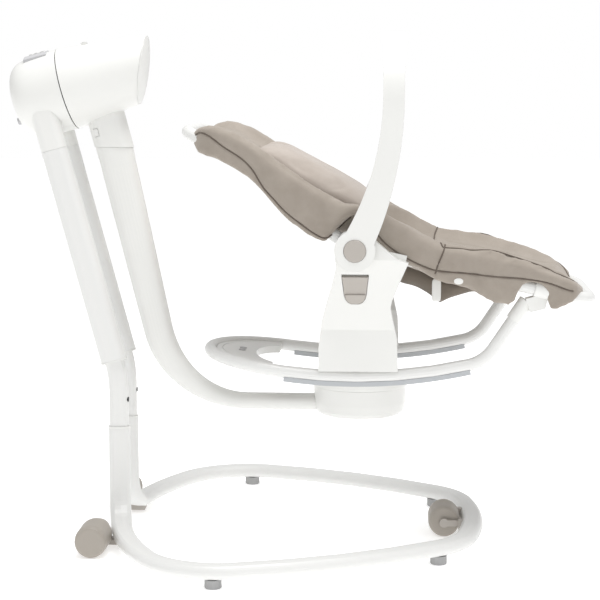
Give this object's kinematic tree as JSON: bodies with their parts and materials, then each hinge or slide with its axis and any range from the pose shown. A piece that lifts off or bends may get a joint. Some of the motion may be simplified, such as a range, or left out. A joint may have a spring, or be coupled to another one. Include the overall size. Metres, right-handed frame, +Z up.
{
  "type": "baby swing",
  "caption": "Electric baby swing: a reclining rocker seat with a toy arch sits on a turntable cup, carried by a J-shaped arm that hangs from a motor head on two slanted legs.",
  "frame": {"origin": "on the floor, under the middle of the whole swing at rest", "axes": "+X from the motor head to the foot of the seat, +Y across the seat to the left, +Z up"},
  "size_m": [0.9913, 0.7306, 0.862],
  "materials": {
    "white_plastic": "satin",
    "white_steel": "satin",
    "grey_plastic": "matt",
    "dark_plastic": "matt",
    "seat_fabric": "knitted polyester",
    "insert_fabric": "brushed knit",
    "steel": "brushed",
    "foot_rubber": "matt"
  },
  "bodies": {
    "stand": {"base_tube": "white_steel", "floor_feet": "foot_rubber", "leg_collars": "white_plastic", "leg_tube_left": "white_steel", "leg_tube_right": "white_steel", "leg_sleeve_left": "white_steel", "leg_sleeve_right": "white_steel", "sleeve_rings": "white_plastic", "rear_bracket_left": "grey_plastic", "rear_bracket_right": "grey_plastic", "front_bracket": "grey_plastic", "roller_axles": "steel", "rear_housing": "white_plastic", "bearing_bulkhead": "grey_plastic", "control_panel": "grey_plastic", "power_inlet": "dark_plastic", "drive_motor": "steel"},
    "pin_left": {"snap_pin_left": "dark_plastic"},
    "pin_right": {"snap_pin_right": "dark_plastic"},
    "roller_left": {"rear_roller_left": "grey_plastic"},
    "roller_right": {"rear_roller_right": "grey_plastic"},
    "roller_front": {"front_roller": "grey_plastic"},
    "power_key": {"key_power": "white_plastic"},
    "speed_key": {"key_speed": "white_plastic"},
    "timer_key": {"key_timer": "white_plastic"},
    "driver": {"drive_roller": "dark_plastic"},
    "swing": {"swing_bell": "white_plastic", "bell_face": "white_plastic", "swing_shaft": "steel", "swing_arm": "white_plastic", "cup_shell": "white_plastic"},
    "lock": {"lock_slider": "white_plastic"},
    "release": {"arm_release": "dark_plastic"},
    "turn": {"turntable": "white_plastic"},
    "rocker": {"seat_bridge": "white_plastic", "runner_loop": "white_steel", "runner_pads": "grey_plastic", "front_connectors": "white_plastic", "sooth_panel": "white_plastic", "pillar_left": "white_plastic", "pillar_right": "white_plastic", "hub_pins": "steel", "foot_frame": "white_steel", "foot_pad": "seat_fabric", "foot_skirt": "seat_fabric", "skirt_tabs": "white_plastic"},
    "sooth_a": {"sooth_key_a": "grey_plastic"},
    "sooth_b": {"sooth_key_b": "grey_plastic"},
    "latch_left": {"recline_latch_left": "grey_plastic"},
    "latch_right": {"recline_latch_right": "grey_plastic"},
    "back": {"back_frame": "white_steel", "back_hinges": "dark_plastic", "back_pad": "seat_fabric", "body_insert": "insert_fabric"},
    "arch": {"toy_arch": "white_plastic"},
    "button_left": {"arch_button_left": "grey_plastic"},
    "button_right": {"arch_button_right": "grey_plastic"}
  },
  "joints": [
    {"name": "swing", "type": "hinge", "parent": "stand", "child": "swing", "pos_m": [-0.38989, 0, 0.77192], "axis": [0.9659, 0, 0.2588], "range_deg": [-12, 12]},
    {"name": "drive_spin", "type": "hinge", "parent": "stand", "child": "driver", "pos_m": [-0.45254, 0, 0.79049], "axis": [0.9659, 0, 0.2588], "range_deg": [-30, 30]},
    {"name": "rear_roll_left", "type": "hinge", "parent": "stand", "child": "roller_left", "pos_m": [-0.335, 0.1675, 0.0275], "axis": [0, 1, 0], "continuous": true},
    {"name": "rear_roll_right", "type": "hinge", "parent": "stand", "child": "roller_right", "pos_m": [-0.335, -0.1675, 0.0275], "axis": [0, 1, 0], "continuous": true},
    {"name": "front_roll", "type": "hinge", "parent": "stand", "child": "roller_front", "pos_m": [0.2513, 0, 0.0275], "axis": [0, 1, 0], "continuous": true},
    {"name": "pin_left_press", "type": "slide", "parent": "stand", "child": "pin_left", "axis": [-1, 0, 0], "range_m": [0, 0.003], "stiffness_N_per_m": 400},
    {"name": "pin_right_press", "type": "slide", "parent": "stand", "child": "pin_right", "axis": [-1, 0, 0], "range_m": [0, 0.003], "stiffness_N_per_m": 400},
    {"name": "power_press", "type": "slide", "parent": "stand", "child": "power_key", "axis": [0.2588, 0, -0.9659], "range_m": [0, 0.0009], "stiffness_N_per_m": 300},
    {"name": "speed_press", "type": "slide", "parent": "stand", "child": "speed_key", "axis": [0.2588, 0, -0.9659], "range_m": [0, 0.0009], "stiffness_N_per_m": 300},
    {"name": "timer_press", "type": "slide", "parent": "stand", "child": "timer_key", "axis": [0.2588, 0, -0.9659], "range_m": [0, 0.0009], "stiffness_N_per_m": 300},
    {"name": "lock_slide", "type": "slide", "parent": "swing", "child": "lock", "axis": [0.9659, 0, 0.2588], "range_m": [0, 0.007]},
    {"name": "release_press", "type": "slide", "parent": "swing", "child": "release", "axis": [0, 1, 0], "range_m": [0, 0.0015], "stiffness_N_per_m": 400},
    {"name": "turntable_spin", "type": "hinge", "parent": "swing", "child": "turn", "pos_m": [0.104, 0, 0.27], "axis": [0, 0, 1], "range_deg": [-90, 90]},
    {"name": "rocker_lift", "type": "slide", "parent": "turn", "child": "rocker", "axis": [0, 0, 1], "range_m": [0, 0.08]},
    {"name": "sooth_a_press", "type": "slide", "parent": "rocker", "child": "sooth_a", "axis": [-0.1318, 0, -0.9913], "range_m": [0, 0.001], "stiffness_N_per_m": 300},
    {"name": "sooth_b_press", "type": "slide", "parent": "rocker", "child": "sooth_b", "axis": [-0.1318, 0, -0.9913], "range_m": [0, 0.001], "stiffness_N_per_m": 300},
    {"name": "latch_left_lift", "type": "slide", "parent": "rocker", "child": "latch_left", "axis": [0, 0.2896, 0.9572], "range_m": [0, 0.004], "stiffness_N_per_m": 500},
    {"name": "latch_right_lift", "type": "slide", "parent": "rocker", "child": "latch_right", "axis": [0, -0.2896, 0.9572], "range_m": [0, 0.004], "stiffness_N_per_m": 500},
    {"name": "recline", "type": "hinge", "parent": "rocker", "child": "back", "pos_m": [0.1, 0, 0.514], "axis": [0, 1, 0], "range_deg": [0, 25]},
    {"name": "arch_tilt", "type": "hinge", "parent": "rocker", "child": "arch", "pos_m": [0.1, 0, 0.514], "axis": [0, 1, 0], "range_deg": [-15, 60]},
    {"name": "button_left_press", "type": "slide", "parent": "arch", "child": "button_left", "axis": [0, -1, 0], "range_m": [0, 0.003], "stiffness_N_per_m": 400},
    {"name": "button_right_press", "type": "slide", "parent": "arch", "child": "button_right", "axis": [0, 1, 0], "range_m": [0, 0.003], "stiffness_N_per_m": 400}
  ],
  "couplings": [
    {"joint": "drive_spin", "follows": "swing", "ratio": -2.4}
  ]
}
